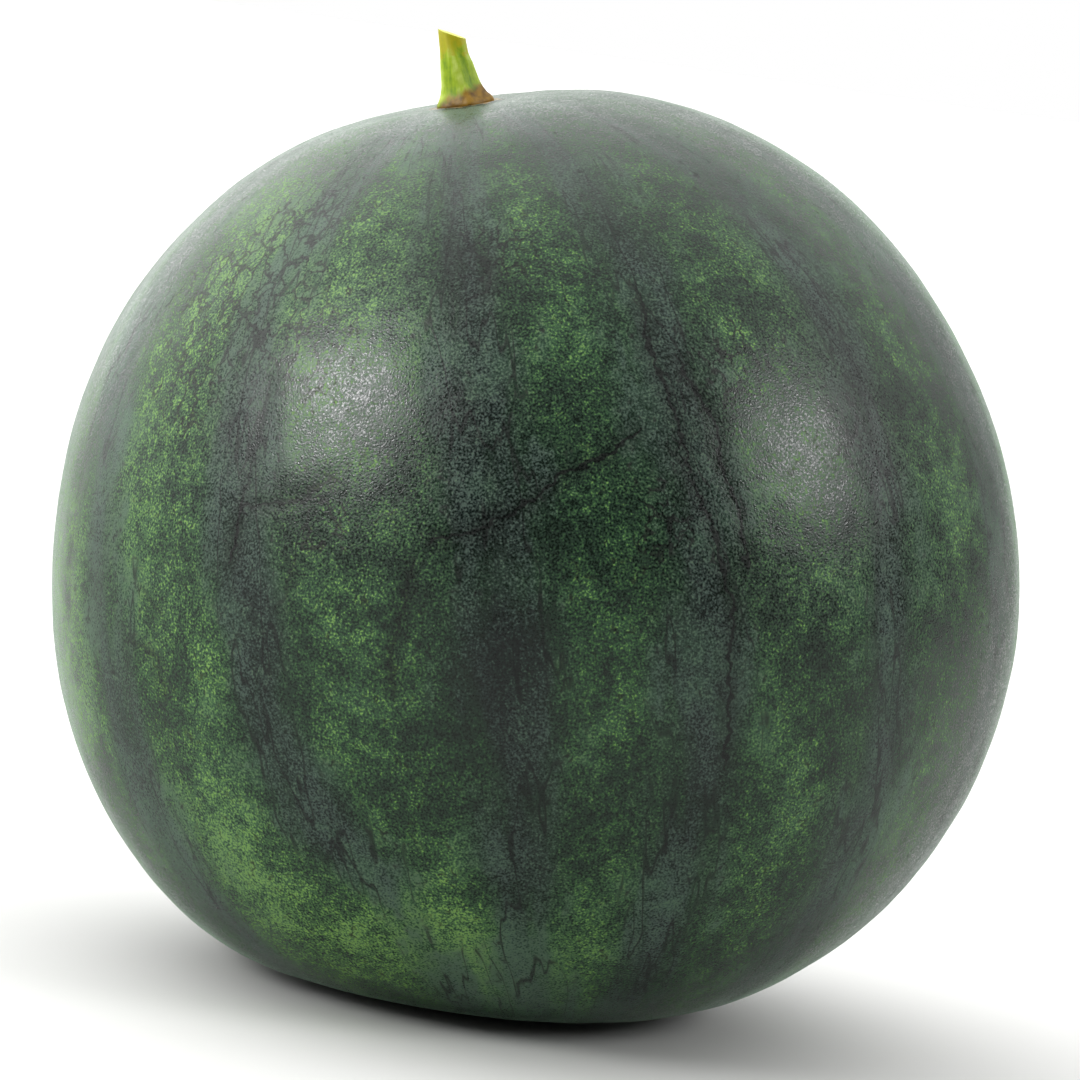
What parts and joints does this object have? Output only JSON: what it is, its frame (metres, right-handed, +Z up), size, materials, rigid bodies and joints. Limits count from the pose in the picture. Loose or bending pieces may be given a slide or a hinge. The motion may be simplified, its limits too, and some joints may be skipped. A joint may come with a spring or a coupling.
{
  "type": "watermelon",
  "caption": "Whole round dark-striped watermelon with a short cut stalk, resting on a small flat spot on its underside.",
  "frame": {"origin": "on the flat spot that the melon rests on, straight below the middle of the melon", "axes": "+Z up, away from the surface that the melon rests on; front, the side seen in the picture, towards -Y; the stalk stands at the top and leans towards -X"},
  "size_m": [0.229, 0.2306, 0.2241],
  "materials": {
    "rind": "waxy half-matt melon rind, dark slate-green stripes over mottled leaf green",
    "stalk": "dry ribbed yellow-green stalk, browned and corky at its foot"
  },
  "bodies": {
    "root": {"fruit": "rind", "stem": "stalk"}
  },
  "joints": []
}
